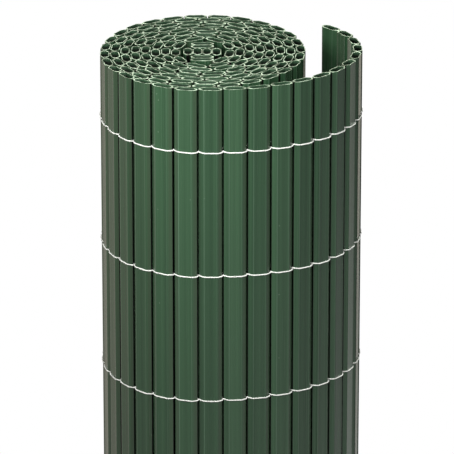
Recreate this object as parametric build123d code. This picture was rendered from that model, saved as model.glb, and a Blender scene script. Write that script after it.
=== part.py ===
"""Privacy screen mat: hollow slats bound by rows of thread, rolled up and stood on end, outer end sprung open."""
from build123d import *
from math import atan2, cos, degrees, hypot, pi, radians, sin, sqrt
import os

# Mat, in millimetres. Every slat is as long as the mat is high.
MAT_HEIGHT = 900.0
SLAT_COUNT = 168

# Slat section: two flat faces, two noses with narrow side walls, sloping shoulders, and one hollow cell
SLAT_WIDTH = 17.7
SLAT_THICKNESS = 7.0
SHOULDER_WIDTH = 3.6
SHOULDER_DEPTH = 2.2
SLAT_WALL = 0.6
NOSE_WALL = 0.9
SLAT_GAP = 0.6

# Binding thread: rows across the slats, with the same margin at both edges of the mat
THREAD_ROWS = 9
THREAD_MARGIN = 50.0
THREAD_WIDTH = 1.0
THREAD_HEIGHT = 0.4
THREAD_CLEARANCE = 0.1

# Core of the roll: a row of slats face to face across the middle, and flat slats in front of it and behind it
CORE_ROW = 4
CORE_FLATS = 2
CORE_CLEARANCE = 0.3
CORE_X = -2.3
CORE_Y = -1.0

# Turns of the roll: an oval round the core, with room between a thread and the next turn.
# The bore is a share of the slat's width, and the oval reaches further to the front and back than to the sides.
BORE_SHARE = 0.68
OVAL_REACH = 13.4
TURN_CLEARANCE = 0.1
START_ANGLE = -71.0

# Loose end: each slat turns in from the one before, a little more each time. Angles are in degrees.
LOOSE_SLATS = 12
FIRST_LOOSE_TURN = 6.9
LAST_LOOSE_TURN = 14.7

# Sizes that follow from those above
PITCH = SLAT_WIDTH + SLAT_GAP
THREAD_ROOM = THREAD_CLEARANCE + THREAD_HEIGHT
TURN_GAP = THREAD_ROOM + TURN_CLEARANCE
CORE_SLATS = CORE_ROW + 2 * CORE_FLATS
CORE_STEP = SLAT_THICKNESS + CORE_CLEARANCE
ROW_PITCH = (MAT_HEIGHT - 2 * THREAD_MARGIN) / (THREAD_ROWS - 1)

# Slats fold about the inner edges of their side walls, so the hinges lie between the two faces
INNER_DEPTH = SHOULDER_DEPTH
OUTER_DEPTH = SLAT_THICKNESS - SHOULDER_DEPTH

FULL_TURN = 2 * pi
QUARTER_TURN = 0.25


def crown_radius(inner_face):
    """Reach of a slat's outer corners from the roll's axis, for an inner face at that distance."""
    outer_face = inner_face + SLAT_THICKNESS
    at_face = hypot(SLAT_WIDTH / 2 - SHOULDER_WIDTH, outer_face)
    at_side = hypot(SLAT_WIDTH / 2, outer_face - SHOULDER_DEPTH)
    return max(at_face, at_side)


def radius_over(radius):
    """Hinge radius of the turn that lies on a turn of that hinge radius, with the turns' gap between them."""
    crown = crown_radius(sqrt(radius**2 - (PITCH / 2) ** 2) - INNER_DEPTH)
    return hypot(crown + TURN_GAP + INNER_DEPTH, PITCH / 2)


def hinge_radius(turns):
    """Hinge radius after that many turns: the first winds round the bore, each later one lies on the last."""
    if turns >= 1:
        return radius_over(hinge_radius(turns - 1))
    first = hypot(BORE_SHARE * SLAT_WIDTH + INNER_DEPTH, PITCH / 2)
    return first + turns * (radius_over(first) - first)


def wound_hinge(turns):
    """Hinge in plan after that many turns, on the oval."""
    radius = hinge_radius(turns)
    angle = radians(START_ANGLE) + FULL_TURN * turns
    return Vector(radius * cos(angle), (radius + OVAL_REACH) * sin(angle))


def one_slat_on(turns):
    """Turns wound one slat further on, found by halving the span in which the chord reaches one pitch."""
    here = wound_hinge(turns)
    low, high = turns, turns + QUARTER_TURN
    for _ in range(40):
        middle = (low + high) / 2
        if (wound_hinge(middle) - here).length < PITCH:
            low = middle
        else:
            high = middle
    return high


def heading(start, end):
    """Direction in plan from one hinge to the next, in degrees."""
    return degrees(atan2(end.Y - start.Y, end.X - start.X))


def hinge_line():
    """Hinges of the mat in plan from the core outwards, and the number of the first in the outermost turn."""
    wound = [0.0]
    for _ in range(SLAT_COUNT - CORE_SLATS - LOOSE_SLATS):
        wound.append(one_slat_on(wound[-1]))
    hinges = [wound_hinge(turns) for turns in wound]
    direction = heading(hinges[-2], hinges[-1])
    for step in range(LOOSE_SLATS):
        share = step / (LOOSE_SLATS - 1)
        direction += FIRST_LOOSE_TURN + share * (LAST_LOOSE_TURN - FIRST_LOOSE_TURN)
        hinges.append(hinges[-1] + Vector(PITCH, 0).rotate(Axis.Z, direction))
    outermost = sum(turns < wound[-1] - 1 for turns in wound)
    return hinges, outermost


def mirrored(corners):
    """Closed polygon from the corners of its quarter, mirrored about both axes in turn."""
    half = corners + [(-x, y) for x, y in reversed(corners)]
    return Polygon(*half, *[(-x, -y) for x, y in half], align=None)


def slat_section():
    """Section of a slat: the hinges lie on the X axis, the inner face on the +Y side and the outer on the -Y side."""
    half_width, half_thickness = SLAT_WIDTH / 2, SLAT_THICKNESS / 2
    flat = half_width - SHOULDER_WIDTH
    outline = mirrored([(half_width, half_thickness - SHOULDER_DEPTH), (flat, half_thickness)])
    nose, face = half_width - NOSE_WALL, half_thickness - SLAT_WALL
    cell = Polygon((nose, 0), (flat, face), (-flat, face), (-nose, 0), (-flat, -face), (flat, -face), align=None)
    return Pos(0, (INNER_DEPTH - OUTER_DEPTH) / 2) * (outline - cell)


def slat_place(start, end):
    """Place of a slat between two hinges."""
    middle = (start + end) / 2
    return Location((middle.X, middle.Y, 0), (0, 0, heading(start, end)))


def core_places():
    """Places of the core's slats, about the middle of their section."""
    centred = Pos(0, (OUTER_DEPTH - INNER_DEPTH) / 2)
    places = []
    for step in range(CORE_ROW):
        across = (step - (CORE_ROW - 1) / 2) * CORE_STEP
        places.append(Location((CORE_X + across, CORE_Y, 0), (0, 0, 90)) * centred)
    for step in range(CORE_FLATS):
        reach = SLAT_WIDTH / 2 + CORE_STEP - SLAT_THICKNESS / 2 + step * CORE_STEP
        places += [Pos(CORE_X, CORE_Y + reach) * centred, Pos(CORE_X, CORE_Y - reach) * centred]
    return places


def beside(route, distance):
    """Route in plan moved towards the mat's outer side, with its corners mitred."""
    headings = [heading(start, end) for start, end in zip(route, route[1:])]
    moved = []
    for point, before, after in zip(route, headings[:1] + headings, headings + headings[-1:]):
        half_turn = ((after - before + 180) % 360 - 180) / 2
        outward = Vector(0, -distance / cos(radians(half_turn)))
        moved.append(point + outward.rotate(Axis.Z, before + half_turn))
    return moved


def strand(route, base, ridge):
    """Thread beside a route in plan: its flat base lies on the slats and its ridge faces away from them."""
    base_line = beside(route, base)
    half_width = Vector(0, 0, THREAD_WIDTH / 2)
    low = [point - half_width for point in base_line]
    high = [point + half_width for point in base_line]
    top = beside(route, ridge)
    loops = [(low[0], high[0], top[0]), (low[-1], high[-1], top[-1])]
    for here in range(len(route) - 1):
        for a, b in ((low, high), (high, top), (top, low)):
            loops.append((a[here], b[here], b[here + 1], a[here + 1]))
    return Solid(Shell([Face(Wire.make_polygon(loop)) for loop in loops]))


def binding_thread(hinges, outermost):
    """One row of thread where it shows: on the outer faces to the end, and on the inner faces that lift clear."""
    outer = strand(hinges[outermost:], OUTER_DEPTH + THREAD_CLEARANCE, OUTER_DEPTH + THREAD_ROOM)
    inner = strand(hinges[-LOOSE_SLATS:], -INNER_DEPTH - THREAD_CLEARANCE, -INNER_DEPTH - THREAD_ROOM)
    return Compound([outer, inner])


def mat():
    """All nodes of the mat by name, about the roll's axis."""
    hinges, outermost = hinge_line()
    spans = list(zip(hinges, hinges[1:]))
    slat = extrude(slat_section(), MAT_HEIGHT).solid()
    core = [place * slat for place in core_places()]
    bound = [slat_place(*span) * slat for span in spans]
    nodes = {
        "core_slats": Compound(core),
        "wound_slats": Compound(bound[:-LOOSE_SLATS]),
        "loose_end_slats": Compound(bound[-LOOSE_SLATS:]),
    }
    thread = binding_thread(hinges, outermost)
    for row in range(THREAD_ROWS):
        nodes[f"binding_thread_{row + 1}"] = Pos(0, 0, THREAD_MARGIN + row * ROW_PITCH) * thread
    return nodes


# The origin is on the floor, in the middle of the footprint
nodes = mat()
footprint = Compound(list(nodes.values())).bounding_box().center()
os.makedirs("parts", exist_ok=True)
for name, node in nodes.items():
    export_step(Pos(-footprint.X, -footprint.Y) * node, f"parts/{name}.step")
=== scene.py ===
"""Looks of a rolled privacy screen mat: hollow plastic slats and their binding thread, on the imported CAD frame."""
from math import atan2, cos, pi, radians, sin, tan

import bpy
import numpy as np
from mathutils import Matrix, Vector


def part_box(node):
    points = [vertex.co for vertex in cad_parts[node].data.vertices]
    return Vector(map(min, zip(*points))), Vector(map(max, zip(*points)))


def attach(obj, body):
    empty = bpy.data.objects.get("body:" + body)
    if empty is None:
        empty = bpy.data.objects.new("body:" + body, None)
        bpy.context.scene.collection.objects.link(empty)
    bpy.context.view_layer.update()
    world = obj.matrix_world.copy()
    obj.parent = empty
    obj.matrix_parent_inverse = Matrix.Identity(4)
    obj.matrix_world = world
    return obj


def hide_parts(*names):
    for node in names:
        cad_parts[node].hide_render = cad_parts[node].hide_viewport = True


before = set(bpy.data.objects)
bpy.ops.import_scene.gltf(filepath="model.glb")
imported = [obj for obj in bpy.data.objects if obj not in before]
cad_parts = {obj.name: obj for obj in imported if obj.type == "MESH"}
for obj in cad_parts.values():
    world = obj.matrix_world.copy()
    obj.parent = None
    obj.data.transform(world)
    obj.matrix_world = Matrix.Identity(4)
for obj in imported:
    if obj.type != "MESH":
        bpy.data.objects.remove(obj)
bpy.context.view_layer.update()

MM = 0.001
FULL_TURN = 2 * pi
rng = np.random.default_rng(11)

# Slat section, as in the CAD source
SHOULDER_WIDTH = 3.6 * MM
SHOULDER_DEPTH = 2.2 * MM
WALL = 0.6 * MM
NOSE_WALL = 0.9 * MM

# What the section gains here: rounded corners, a softened edge at both ends, and two drawn ribs on each face.
# A rib has a place as a share of the slat's width, a height and half a width.
CORNER_RADIUS = 0.8 * MM
CELL_RADIUS = 0.7 * MM
END_EDGE = 0.14 * MM
RIBS = ((-0.27, 0.09 * MM, 0.7 * MM), (0.24, -0.05 * MM, 0.6 * MM))
RIB_SHAPE = ((-1, 0.0), (-0.35, 1.0), (0.35, 1.0), (1, 0.0))
SHARP_ANGLE = 20

# A side of the section longer than this share of its width is a face. Stretched, the section is about as deep as wide.
FACE_SHARE = 0.4
STRETCH = 2.6

# Scatter between slats: a rib's place as a share of the width, turns in degrees, cuts in millimetres, and a slope
RIB_SCATTER = 0.03
CORE_WOBBLE = 0.6
WOUND_WOBBLE = 0.7
UPPER_CUT_SCATTER = 0.3
LOWER_CUT_SCATTER = 0.12
SLANT_SCATTER = 0.02
STREAK_SHIFT = 40

# Binding thread: two plies twisted round each other.
# On a slat's outer face it comes out of one gap high and goes into the next low.
ROWS = 9
PLY_RADIUS = 0.32 * MM
PLY_OFFSET = 0.28 * MM
PLY_FLATTENING = 0.6
PLY_LAY = 2.6 * MM
PLY_SIDES = 6
THREAD_HIGH = 0.6 * MM
THREAD_LOW = -0.25 * MM
THREAD_STEP = 0.8 * MM
ROW_SCATTER = 0.12

# Kinds of faces on a slat, in the order of its materials
FACE, CUT, INSIDE = range(3)


def linked(name, data):
    """New object in the scene."""
    thing = bpy.data.objects.new(name, data)
    bpy.context.scene.collection.objects.link(thing)
    return thing


# Places of the slats in the CAD frame

def loose_parts(node):
    """Points of each solid of a CAD node, in the order of its vertices."""
    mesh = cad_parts[node].data
    co = np.zeros(len(mesh.vertices) * 3, np.float32)
    mesh.vertices.foreach_get("co", co)
    points, index = np.unique(np.round(co.reshape(-1, 3), 6), axis=0, return_inverse=True)
    index = index.ravel()
    parent = list(range(len(points)))

    def root(i):
        while parent[i] != i:
            parent[i] = parent[parent[i]]
            i = parent[i]
        return i

    for face in mesh.polygons:
        corners = [root(index[v]) for v in face.vertices]
        for corner in corners[1:]:
            parent[root(corner)] = root(corners[0])
    roots = np.array([root(i) for i in range(len(points))])
    order = list(dict.fromkeys(roots[i] for i in index))
    return [points[roots == r].astype(float) for r in order]


class Slat:
    """Place of one slat in plan, read from the points of its solid, with its sizes."""

    def __init__(self, points):
        plan = points[:, :2]
        self.middle = plan.mean(0)
        _, directions = np.linalg.eigh(np.cov((plan - self.middle).T))
        self.along = directions[:, 1]
        self.width = np.ptp((plan - self.middle) @ self.along)
        self.thickness = np.ptp((plan - self.middle) @ self.outward())
        self.height = np.ptp(points[:, 2])

    def outward(self):
        """Direction of the outer face, once the width points on to the next slat."""
        return np.array([self.along[1], -self.along[0]])

    def point_along(self, direction):
        """Turns the width's direction round where it runs against another."""
        if self.along @ direction < 0:
            self.along = -self.along


core = [Slat(points) for points in loose_parts("core_slats")]
wound = [Slat(points) for points in loose_parts("wound_slats")]
loose_end = [Slat(points) for points in loose_parts("loose_end_slats")]
bound = wound + loose_end
for slat, step in zip(bound, np.gradient([slat.middle for slat in bound], axis=0)):
    slat.point_along(step)
for slat in core:
    slat.point_along(bound[0].along)
WIDTH, THICKNESS, HEIGHT = bound[0].width, bound[0].thickness, bound[0].height

# Bearings of the wound slats about the roll's axis, which is near the mean of some slats half-way out.
# The outermost turn ends where the loose end lifts off.
HALF_WAY_OUT = slice(60, 90)
axis = np.mean([slat.middle for slat in wound[HALF_WAY_OUT]], axis=0)
bearings = np.unwrap([atan2(*(slat.middle - axis)[::-1]) for slat in wound])
OUTERMOST = int(np.searchsorted(bearings, bearings[-1] - FULL_TURN))

# Section from its middle: side walls and ends of the faces across it, faces and ends of the side walls in its depth
SIDE, FLAT = WIDTH / 2, WIDTH / 2 - SHOULDER_WIDTH
CROWN, NOSE = THICKNESS / 2, THICKNESS / 2 - SHOULDER_DEPTH


# Slat meshes

def rounded(corners, radius, points=3):
    """Closed line through corners that are rounded off."""
    corners = [np.array(c, float) for c in corners]
    line = []
    for before, corner, after in zip(corners[-1:] + corners, corners, corners[1:] + corners[:1]):
        a, b = before - corner, after - corner
        a, b = a / np.linalg.norm(a), b / np.linalg.norm(b)
        half = np.arccos(np.clip(a @ b, -1, 1)) / 2
        centre = corner + (a + b) / np.linalg.norm(a + b) * radius / sin(half)
        start, end = corner + a * radius / tan(half), corner + b * radius / tan(half)
        first = atan2(*(start - centre)[::-1])
        turn = (atan2(*(end - centre)[::-1]) - first + pi) % FULL_TURN - pi
        for i in range(points):
            angle = first + turn * i / (points - 1)
            line.append(centre + radius * np.array([cos(angle), sin(angle)]))
    return np.array(line)


def outline(ribs):
    """Outer line of a slat's section: rounded shoulders, and faint drawn ribs on both faces."""
    octagon = [
        (-FLAT, -CROWN), (FLAT, -CROWN), (SIDE, -NOSE), (SIDE, NOSE),
        (FLAT, CROWN), (-FLAT, CROWN), (-SIDE, NOSE), (-SIDE, -NOSE),
    ]
    line = rounded(octagon, CORNER_RADIUS)
    full = []
    for here, there in zip(line, np.roll(line, -1, 0)):
        full.append(here)
        if abs(here[0] - there[0]) > FACE_SHARE * WIDTH:
            sense = np.sign(there[0] - here[0])
            out = np.array([0, np.sign(here[1])])
            for place, height, spread in sorted(ribs):
                for off, share in RIB_SHAPE:
                    x = (place + off * spread) * sense
                    full.append(np.array([x, here[1]]) + out * height * share)
    return np.array(full)


def cell():
    """Line of the slat's hollow cell, with its two noses."""
    nose, face = SIDE - NOSE_WALL, CROWN - WALL
    corners = [(-nose, 0), (-FLAT, -face), (FLAT, -face), (nose, 0), (FLAT, face), (-FLAT, face)]
    return rounded(corners, CELL_RADIUS)


def bridge(outer, inner):
    """Triangles between two closed lines that go round the same middle, as numbers into the two in a row."""
    def turns(line):
        angles = np.array([atan2(y * STRETCH, x) for x, y in line])
        return np.argsort(angles), np.sort(angles)

    a, ta = turns(outer)
    b, tb = turns(inner)
    i = j = 0
    triangles = []
    while i < len(a) or j < len(b):
        next_a = ta[i + 1] if i + 1 < len(a) else ta[0] + FULL_TURN
        next_b = tb[j + 1] if j + 1 < len(b) else tb[0] + FULL_TURN
        here_a, here_b = a[i % len(a)], b[j % len(b)] + len(a)
        if j >= len(b) or (i < len(a) and next_a <= next_b):
            triangles.append((here_a, a[(i + 1) % len(a)], here_b))
            i += 1
        else:
            triangles.append((here_a, b[(j + 1) % len(b)] + len(a), here_b))
            j += 1
    return triangles


def turned(vector, angle):
    """Vector in plan, turned by an angle."""
    x, y = vector
    return np.array([x * cos(angle) - y * sin(angle), x * sin(angle) + y * cos(angle)])


CELL = cell()


class SlatPiece:
    """Collects the slats of one piece: points and faces, and what the materials need to know of them."""

    def __init__(self):
        self.verts, self.faces, self.kinds, self.uvs = [], [], [], []
        self.tones, self.across = [], []

    def add_face(self, corners, uvs, kind):
        self.faces.append(tuple(corners))
        self.uvs += uvs
        self.kinds.append(kind)

    def add_slat(self, slat, wobble):
        """Adds one slat with its own ribs, cut ends, tone and streaks, and a small turn about its length."""
        ribs = [((place + RIB_SCATTER * rng.standard_normal()) * WIDTH, *size) for place, *size in RIBS]
        x_axis = turned(slat.along, radians(wobble) * rng.standard_normal())
        y_axis = np.array([-x_axis[1], x_axis[0]])
        top = HEIGHT - abs(rng.normal(0, UPPER_CUT_SCATTER)) * MM
        bottom = abs(rng.normal(0, LOWER_CUT_SCATTER)) * MM
        slant = rng.normal(0, SLANT_SCATTER)
        shift = rng.uniform(0, STREAK_SHIFT)
        tone = rng.standard_normal()

        def ring(line, level):
            """Numbers of the points of a closed line, added at a level. The upper end is slanted."""
            first = len(self.verts)
            for x, y in line:
                p = slat.middle + x * x_axis + y * y_axis
                z = level + slant * x * (level > HEIGHT / 2)
                self.verts.append((p[0], p[1], min(HEIGHT, max(0, z))))
                self.across.append(x / SIDE)
            return list(range(first, len(self.verts)))

        # Outside, with a softened edge at both ends
        outer = outline(ribs)
        inset = outer * (1 - END_EDGE / np.linalg.norm(outer, axis=1))[:, None]
        lengths = np.linalg.norm(np.roll(outer, -1, 0) - outer, axis=1)
        around = shift + np.concatenate([[0], np.cumsum(lengths)])
        levels = [bottom, bottom + END_EDGE, top - END_EDGE, top]
        rings = [ring(line, level) for line, level in zip((inset, outer, outer, inset), levels)]
        for band, kind in enumerate((CUT, FACE, CUT)):
            low, high = rings[band:band + 2]
            z0, z1 = levels[band:band + 2]
            for i, (u0, u1) in enumerate(zip(around, around[1:])):
                k = (i + 1) % len(outer)
                self.add_face((low[i], low[k], high[k], high[i]), [(u0, z0), (u1, z0), (u1, z1), (u0, z1)], kind)

        # Inside of the cell
        low, high = ring(CELL, bottom), ring(CELL, top)
        for i in range(len(CELL)):
            k = (i + 1) % len(CELL)
            u = shift + i * MM
            self.add_face((low[k], low[i], high[i], high[k]), [(u, bottom), (u, bottom), (u, top), (u, top)], INSIDE)

        # Sawn ends between the two
        triangles = bridge(inset, CELL)
        for both, order in ((rings[3] + high, 1), (rings[0] + low, -1)):
            for triangle in triangles:
                corners = [both[v] for v in triangle][::order]
                self.add_face(corners, [(shift + self.verts[v][0], self.verts[v][1]) for v in corners], CUT)
        self.tones += [tone] * (len(self.verts) - len(self.tones))

    def finished(self, name, materials):
        """The piece as an object on the frame."""
        mesh = bpy.data.meshes.new(name)
        mesh.from_pydata(self.verts, [], self.faces)
        mesh.uv_layers.new(name="UVMap").data.foreach_set("uv", np.array(self.uvs, np.float32).ravel())
        for label, values in (("tone", self.tones), ("across", self.across)):
            attribute = mesh.attributes.new(label, "FLOAT", "POINT")
            attribute.data.foreach_set("value", np.array(values, np.float32))
        for material in materials:
            mesh.materials.append(material)
        mesh.polygons.foreach_set("material_index", np.array(self.kinds, np.int32))
        mesh.polygons.foreach_set("use_smooth", np.array([kind != CUT for kind in self.kinds], bool))
        mesh.update()
        piece = linked(name, mesh)
        mesh.set_sharp_from_angle(angle=radians(SHARP_ANGLE))
        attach(piece, "root")
        return piece


def slat_piece(name, slats, materials, wobble):
    """One piece of several slats."""
    piece = SlatPiece()
    for slat in slats:
        piece.add_slat(slat, wobble)
    return piece.finished(name, materials)


# Thread meshes

def thread_line(slat, side, lift, level):
    """Line of the thread across one slat, from one gap to the next, and the directions away from the slat.
    side is 1 on the outer face and -1 on the inner one, where the thread runs the other way up."""
    out = slat.outward() * side
    profile = [  # across the slat, out from its middle, and up
        (-SIDE - 0.3 * MM, NOSE - 1.6 * MM, THREAD_HIGH * 0.7),
        (-SIDE - 0.15 * MM, NOSE - 0.2 * MM, THREAD_HIGH),
        (-SIDE + 0.5 * MM, NOSE + 0.75 * MM, THREAD_HIGH * 0.9),
        (-FLAT - 1.2 * MM, CROWN - 0.2 * MM, THREAD_HIGH * 0.45),
        (-FLAT + 0.6 * MM, CROWN + lift, THREAD_HIGH * 0.15),
        (-0.2 * FLAT, CROWN + lift, THREAD_LOW * 0.4),
        (0.5 * FLAT, CROWN + lift, THREAD_LOW * 0.8),
        (FLAT - 0.6 * MM, CROWN + lift, THREAD_LOW),
        (FLAT + 1.2 * MM, CROWN - 0.2 * MM, THREAD_LOW),
        (SIDE - 0.5 * MM, NOSE + 0.75 * MM, THREAD_LOW * 0.9),
        (SIDE + 0.15 * MM, NOSE - 0.2 * MM, THREAD_LOW * 0.8),
        (SIDE + 0.3 * MM, NOSE - 1.6 * MM, THREAD_LOW * 0.5),
    ]
    points, outs = [], []
    for x, y, z in profile:
        plan = slat.middle + slat.along * x + out * y
        points.append((plan[0], plan[1], z * side + level))
        outs.append((out[0], out[1], 0.0))
    return np.array(points), np.array(outs)


def smooth_line(points, outs, step):
    """Catmull-Rom points along a line, about one step apart, and the directions away from the slat."""
    padded = np.vstack([2 * points[0] - points[1], points, 2 * points[-1] - points[-2]])
    line, away = [], []
    for i in range(len(points) - 1):
        p0, p1, p2, p3 = padded[i:i + 4]
        count = max(2, int(round(np.linalg.norm(p2 - p1) / step)))
        for k in range(count):
            u = k / count
            line.append(0.5 * (2 * p1 + (p2 - p0) * u + (2 * p0 - 5 * p1 + 4 * p2 - p3) * u * u
                               + (3 * p1 - p0 - 3 * p2 + p3) * u ** 3))
            away.append(outs[i] * (1 - u) + outs[i + 1] * u)
    line.append(points[-1])
    away.append(outs[-1])
    return np.array(line), np.array(away)


def add_plies(verts, faces, line, away, phase):
    """Adds two plies twisted round each other along a line."""
    ahead = np.gradient(line, axis=0)
    ahead /= np.linalg.norm(ahead, axis=1)[:, None]
    right = np.cross(ahead, away)
    right /= np.linalg.norm(right, axis=1)[:, None]
    up = np.cross(right, ahead)
    run = np.concatenate([[0], np.cumsum(np.linalg.norm(np.diff(line, axis=0), axis=1))])
    for ply in (0, 1):
        turn = phase + ply * pi + FULL_TURN * run / PLY_LAY
        sideways, upwards = np.cos(turn)[:, None] * right, PLY_FLATTENING * np.sin(turn)[:, None] * up
        first = len(verts)
        for c, r, u in zip(line + PLY_OFFSET * (sideways + upwards), right, up):
            for k in range(PLY_SIDES):
                a = FULL_TURN * k / PLY_SIDES
                verts.append(tuple(c + PLY_RADIUS * (cos(a) * r + sin(a) * u)))
        rings = [[first + i * PLY_SIDES + k for k in range(PLY_SIDES)] for i in range(len(line))]
        for low, high in zip(rings, rings[1:]):
            for k in range(PLY_SIDES):
                j = (k + 1) % PLY_SIDES
                faces.append((low[k], low[j], high[j], high[k]))
        faces.append(tuple(rings[0][::-1]))
        faces.append(tuple(rings[-1]))


def thread_piece(row, material):
    """One row of thread on the outermost turn and on both faces of the loose end."""
    lo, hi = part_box(f"binding_thread_{row + 1}")
    level = (lo.z + hi.z) / 2
    verts, faces = [], []
    lift = PLY_RADIUS + PLY_FLATTENING * PLY_OFFSET
    wander = np.cumsum(rng.normal(0, ROW_SCATTER, len(bound))) * MM
    wander -= np.linspace(wander[OUTERMOST], wander[-1], len(bound))
    for k in range(OUTERMOST, len(bound)):
        for side in (1, -1) if k > len(wound) else (1,):
            line, away = smooth_line(*thread_line(bound[k], side, lift, level + wander[k]), THREAD_STEP)
            add_plies(verts, faces, line, away, rng.uniform(0, FULL_TURN))
    mesh = bpy.data.meshes.new(f"thread_{row + 1}")
    mesh.from_pydata(verts, [], faces)
    mesh.materials.append(material)
    mesh.polygons.foreach_set("use_smooth", np.ones(len(faces), bool))
    mesh.update()
    piece = linked(f"thread_{row + 1}", mesh)
    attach(piece, "root")
    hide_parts(f"binding_thread_{row + 1}")


# Materials

class Nodes:
    """Short way to add and link shader nodes."""

    def __init__(self, tree):
        self.tree = tree

    def add(self, kind, settings=None, **inputs):
        node = self.tree.nodes.new(kind)
        for key, value in (settings or {}).items():
            setattr(node, key, value)
        for key, value in inputs.items():
            self.set(node.inputs[key.replace("_", " ")], value)
        return node

    def set(self, socket, value):
        if isinstance(value, bpy.types.NodeSocket):
            self.tree.links.new(value, socket)
        else:
            socket.default_value = value

    def filled(self, node, values):
        """A node whose inputs are set by their numbers."""
        for number, value in values.items():
            self.set(node.inputs[number], value)
        return node

    def math(self, kind, *values, clamp=False):
        node = self.add("ShaderNodeMath", {"operation": kind, "use_clamp": clamp})
        return self.filled(node, dict(enumerate(values))).outputs[0]

    def vector_math(self, kind, *values):
        node = self.add("ShaderNodeVectorMath", {"operation": kind})
        return self.filled(node, dict(enumerate(values))).outputs

    def mix(self, factor, a, b):
        node = self.add("ShaderNodeMix", {"data_type": "RGBA", "blend_type": "MIX"})
        return self.filled(node, {0: factor, 6: a, 7: b}).outputs[2]

    def mix_shaders(self, factor, a, b):
        return self.filled(self.add("ShaderNodeMixShader"), {0: factor, 1: a, 2: b}).outputs[0]

    def ramp(self, value, start, end, most, least=0.0):
        """Smooth step of a value, from the least at the start to the most at the end."""
        return self.add("ShaderNodeMapRange", {"interpolation_type": "SMOOTHSTEP"}, Value=value, From_Min=start,
                        From_Max=end, To_Min=least, To_Max=most).outputs[0]

    def noise(self, where, scale, detail, dimensions="3D"):
        return self.add("ShaderNodeTexNoise", {"noise_dimensions": dimensions}, Vector=where, Scale=scale,
                        Detail=detail).outputs[0]

    def attribute(self, name):
        return self.add("ShaderNodeAttribute", {"attribute_name": name}).outputs["Fac"]

    def streaks(self, across, along):
        """Noise drawn out along the slats, from 0 to 1."""
        uv = self.add("ShaderNodeUVMap").outputs[0]
        scaled = self.add("ShaderNodeMapping", {"vector_type": "POINT"}, Vector=uv, Scale=(across, along, 1.0))
        return self.noise(scaled.outputs[0], 1.0, 2.0, "2D")

    def bump(self, shader, height, strength, distance):
        bump = self.add("ShaderNodeBump", Strength=strength, Distance=distance, Height=height)
        self.set(shader.inputs["Normal"], bump.outputs[0])


def new_material(name):
    material = bpy.data.materials.new(name)
    material.use_nodes = True
    return material, Nodes(material.node_tree), material.node_tree.nodes["Principled BSDF"]


SPECK = (0.32, 0.42, 0.32, 1)
# Painted light: a highlight along the shoulder edges, shade on the far shoulder, shade in the gaps and shade deep in
# the cells
PAINTED_EDGE_HIGHLIGHT = (0.11, 0.185, 0.125, 1)
PAINTED_SHOULDER_SHADE = (0.040, 0.051, 0.030, 1)
PAINTED_GAP_SHADE = (0.002, 0.003, 0.002, 1)
PAINTED_CELL_SHADE = (0.006, 0.010, 0.006, 1)


def with_painted_shoulder_light(n, colour, highlight_variation):
    """Colour with painted highlights along both shoulder edges, painted shade on the far shoulder and painted shade in
    the gaps between slats.
    """
    x = n.attribute("across")
    # Painted highlights along both shoulder edges, their strength varied by the broad streaks
    for place, spread, strength in ((-0.56, 0.06, 0.6), (0.53, 0.05, 0.3)):
        off = n.math("ABSOLUTE", n.math("SUBTRACT", x, place))
        near = n.math("SUBTRACT", 1.0, n.math("DIVIDE", off, spread), clamp=True)
        highlight_share = n.math("MULTIPLY", near, n.math("MULTIPLY", highlight_variation, 2 * strength), clamp=True)
        colour = n.mix(highlight_share, colour, PAINTED_EDGE_HIGHLIGHT)
    # Painted shade on the far shoulder, darker towards the slat's edge
    colour = n.mix(n.ramp(x, 0.56, 0.84, 0.4), colour, PAINTED_SHOULDER_SHADE)
    # Painted shade, near black, at the slat's edges where the gaps between slats are
    return n.mix(n.ramp(n.math("ABSOLUTE", x), 0.95, 0.995, 1.0), colour, PAINTED_GAP_SHADE)


def with_painted_cell_shade(n, colour, uv):
    """Colour with painted shade that darkens from each end of a cell inwards."""
    z = n.add("ShaderNodeSeparateXYZ", Vector=uv).outputs["Y"]
    depth = n.math("MINIMUM", z, n.math("SUBTRACT", HEIGHT, z))
    return n.mix(n.ramp(depth, 0.3 * MM, 3.6 * MM, 0.95), colour, PAINTED_CELL_SHADE)


def plastic(name, dark, light, roughness, is_face):
    """Green extruded plastic: drawn streaks, a tone for each slat, a few specks and a soft sheen; faces also get
    painted highlights and shade at the shoulders and gaps, cells painted shade deeper in.
    """
    material, n, shader = new_material(name)
    broad, fine = n.streaks(190, 0.8), n.streaks(1200, 2.0)
    level = n.math("MULTIPLY_ADD", broad, 1.3, -0.15)
    level = n.math("ADD", level, n.math("MULTIPLY", n.math("SUBTRACT", fine, 0.5), 0.4))
    level = n.math("ADD", level, n.math("MULTIPLY", n.attribute("tone"), 0.16), clamp=True)
    colour = n.mix(level, dark, light)
    uv = n.add("ShaderNodeUVMap").outputs[0]
    spots = n.add("ShaderNodeTexVoronoi", {"voronoi_dimensions": "2D"}, Vector=uv, Scale=55.0)
    is_spot = n.math("LESS_THAN", spots.outputs["Distance"], 0.02)
    chance = n.add("ShaderNodeSeparateColor", Color=spots.outputs["Color"]).outputs[0]
    is_chosen = n.math("GREATER_THAN", chance, 0.86)
    colour = n.mix(n.math("MULTIPLY", is_spot, n.math("MULTIPLY", is_chosen, 0.4)), colour, SPECK)
    # Faces get painted highlights and shade at the shoulders and gaps, cells get painted shade deeper in
    colour = with_painted_shoulder_light(n, colour, broad) if is_face else with_painted_cell_shade(n, colour, uv)
    n.set(shader.inputs["Base Color"], colour)
    n.set(shader.inputs["Roughness"], n.math("MULTIPLY_ADD", n.streaks(700, 6.0), 0.16, roughness - 0.08))
    shader.inputs["Coat Weight"].default_value = 0.5
    shader.inputs["Coat Roughness"].default_value = 0.14
    n.bump(shader, fine, 0.05, 0.4 * MM)
    return material


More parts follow.
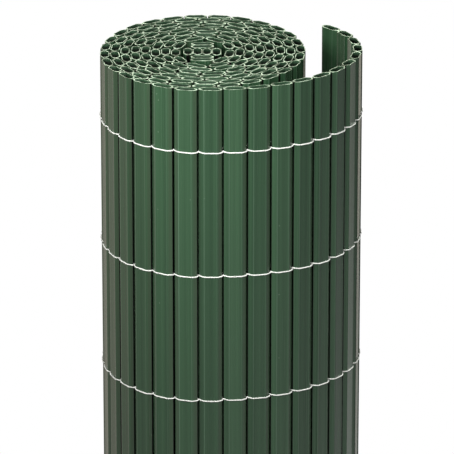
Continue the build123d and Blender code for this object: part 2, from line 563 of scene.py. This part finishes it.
def cut_plastic():
    """Sawn ends of the slats: paler, rough and slightly smeared."""
    material, n, shader = new_material("cut_plastic")
    where = n.add("ShaderNodeTexCoord").outputs["Object"]
    fine, broad = n.noise(where, 1800.0, 3.0), n.noise(where, 160.0, 2.0)
    level = n.math("ADD", n.math("MULTIPLY", fine, 1.3), n.math("MULTIPLY", broad, 2.4))
    level = n.math("SUBTRACT", level, 1.54, clamp=True)
    n.set(shader.inputs["Base Color"], n.mix(level, (0.02, 0.055, 0.025, 1), (0.78, 1.0, 0.76, 1)))
    shader.inputs["Roughness"].default_value = 0.55
    shader.inputs["Specular IOR Level"].default_value = 0.2
    n.bump(shader, fine, 0.3, 0.2 * MM)
    return material


def thread_material():
    """White polyester thread with loose fibres in its plies."""
    material, n, shader = new_material("thread")
    where = n.add("ShaderNodeTexCoord").outputs["Object"]
    fine, broad = n.noise(where, 5200.0, 2.0), n.noise(where, 260.0, 1.0)
    level = n.math("ADD", n.math("MULTIPLY", fine, 0.5), n.math("MULTIPLY", broad, 0.5), clamp=True)
    n.set(shader.inputs["Base Color"], n.mix(level, (0.86, 0.87, 0.83, 1), (0.97, 0.97, 0.95, 1)))
    shader.inputs["Roughness"].default_value = 0.8
    shader.inputs["Sheen Weight"].default_value = 0.25
    n.bump(shader, fine, 0.4, 0.1 * MM)
    return material


face_plastic = plastic("face_plastic", (0.016, 0.048, 0.022, 1), (0.039, 0.096, 0.047, 1), 0.25, is_face=True)
cell_plastic = plastic("cell_plastic", (0.018, 0.052, 0.025, 1), (0.042, 0.102, 0.052, 1), 0.45, is_face=False)
slat_materials = [face_plastic, cut_plastic(), cell_plastic]
white_thread = thread_material()

# Pieces: the core, the turns, the loose end and the rows of thread.
# Turns are counted back from the last wound slat, which is a piece of its own.

core_piece = slat_piece("slats_core", core, slat_materials, CORE_WOBBLE)
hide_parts("core_slats")
full_turns = int((bearings[-1] - bearings[0]) / FULL_TURN)
turn_starts = np.searchsorted(bearings, bearings[-1] - FULL_TURN * np.arange(full_turns + 1))
marks = sorted({0, *turn_starts.tolist(), len(wound)})
for number, (first, last) in enumerate(zip(marks, marks[1:]), 1):
    piece = slat_piece(f"slats_turn_{number}", wound[first:last], slat_materials, WOUND_WOBBLE)
    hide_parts("wound_slats")
loose_piece = slat_piece("slats_loose_end", loose_end, slat_materials, WOUND_WOBBLE)
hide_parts("loose_end_slats")
for row in range(ROWS):
    thread_piece(row, white_thread)


# Stage: floor, light and camera

def stage_floor(reach=60.0, drop=0.2 * MM):
    """Floor that fades to white away from the mat, and that glows pale to glossy rays on the left behind it, a painted
    reflection in the mat's gloss.
    """
    mesh = bpy.data.meshes.new("floor")
    corners = [(-reach, -reach, 0), (reach, -reach, 0), (reach, reach, 0), (-reach, reach, 0)]
    mesh.from_pydata(corners, [], [(0, 1, 2, 3)])
    floor = linked("floor", mesh)
    floor.location.z = -drop
    material, n, shader = new_material("floor")
    shader.inputs["Base Color"].default_value = (0.86, 0.86, 0.86, 1)
    shader.inputs["Roughness"].default_value = 0.9
    shader.inputs["Specular IOR Level"].default_value = 0.0
    path = n.add("ShaderNodeLightPath").outputs
    where = n.add("ShaderNodeTexCoord").outputs["Object"]
    distance = n.vector_math("LENGTH", n.vector_math("MULTIPLY", where, (1, 1, 0))[0])["Value"]
    whiteness = n.math("MULTIPLY", n.ramp(distance, 0.35, 1.1, 1.0, least=0.45), path["Is Camera Ray"])
    white = n.add("ShaderNodeEmission", Color=(1, 1, 1, 1), Strength=1.0).outputs[0]
    seen = n.mix_shaders(whiteness, shader.outputs[0], white)
    # Painted reflection: a pale glow on the left behind the mat, seen only by glossy rays
    behind_left = n.vector_math("DOT_PRODUCT", where, (-0.6, 0.8, 0))["Value"]
    painted_reflection_share = n.math("MULTIPLY", n.ramp(behind_left, 0.3, 1.6, 1.0), path["Is Glossy Ray"])
    pale = n.add("ShaderNodeEmission", Color=(1.0, 0.93, 0.80, 1), Strength=0.5).outputs[0]
    surface = n.mix_shaders(painted_reflection_share, seen, pale)
    n.set(material.node_tree.nodes["Material Output"].inputs["Surface"], surface)
    mesh.materials.append(material)


def surroundings():
    """White to the camera, dim where it lights the mat, and pale behind the mat where it shows in the gloss."""
    world = bpy.data.worlds.new("surroundings")
    bpy.context.scene.world = world
    world.use_nodes = True
    n = Nodes(world.node_tree)
    path = n.add("ShaderNodeLightPath").outputs
    way = n.add("ShaderNodeSeparateXYZ", Vector=n.add("ShaderNodeTexCoord").outputs["Generated"]).outputs
    shown = n.mix(n.ramp(way["Y"], 0.1, 0.8, 1.0), (0.11, 0.11, 0.105, 1), (4.6, 4.2, 3.5, 1))
    lit = n.mix(path["Is Glossy Ray"], (0.11, 0.11, 0.11, 1), shown)
    seen = n.mix(path["Is Camera Ray"], lit, (1, 1, 1, 1))
    n.set(world.node_tree.nodes["Background"].inputs["Color"], seen)


def aimed(name, light, place, target):
    """Light at a place, pointed at a target and hidden from the camera."""
    lamp = linked(name, light)
    lamp.location = place
    lamp.rotation_mode = "QUATERNION"
    lamp.rotation_quaternion = (Vector(target) - Vector(place)).to_track_quat("-Z", "Y")
    lamp.visible_camera = False


def area_light(name, place, target, size, power, colour, size_y=None):
    light = bpy.data.lights.new(name, "AREA")
    light.energy = power
    light.color = colour
    light.size = size
    if size_y:
        light.shape = "RECTANGLE"
        light.size_y = size_y
    aimed(name, light, place, target)


def spot_light(name, place, target, radius, power, angle, colour):
    light = bpy.data.lights.new(name, "SPOT")
    light.energy = power
    light.color = colour
    light.shadow_soft_size = radius
    light.spot_size = radians(angle)
    light.spot_blend = 1.0
    aimed(name, light, place, target)


def main_camera(place, tilt_down, lens):
    """Camera that looks along +Y and down, without shift."""
    camera = bpy.data.cameras.new("camera")
    camera.sensor_width = 36.0
    camera.lens = lens
    camera.clip_end = 100.0
    viewer = linked("camera", camera)
    viewer.location = place
    viewer.rotation_euler = (pi / 2 - tilt_down, 0, 0)
    bpy.context.scene.camera = viewer


stage_floor()
surroundings()
area_light("front", place=(-0.12, -0.45, 1.03), target=(0.01, -0.04, 0.86), size=0.22, size_y=0.10,
           power=2.3, colour=(1.0, 0.99, 0.97))
spot_light("key", place=(-2.47, -1.54, 2.81), target=(0, 0, 0.98), radius=0.05, angle=16,
           power=65, colour=(1.0, 0.98, 0.94))
area_light("fill", place=(1.7, -1.6, 2.5), target=(0, 0, 0.85), size=0.5, power=19, colour=(0.98, 1.0, 0.98))
area_light("back", place=(-0.9, 2.4, 1.2), target=(0, 0, 0.4), size=1.0, power=14, colour=(1.0, 0.99, 0.97))
area_light("top", place=(0.05, -0.25, 2.6), target=(0, 0, 0.9), size=0.3, power=18, colour=(0.97, 1.0, 0.94))
main_camera(place=(-0.0031, -3.41682, 2.00675), tilt_down=0.35063, lens=372.17)
bpy.context.scene.view_settings.view_transform = "Standard"
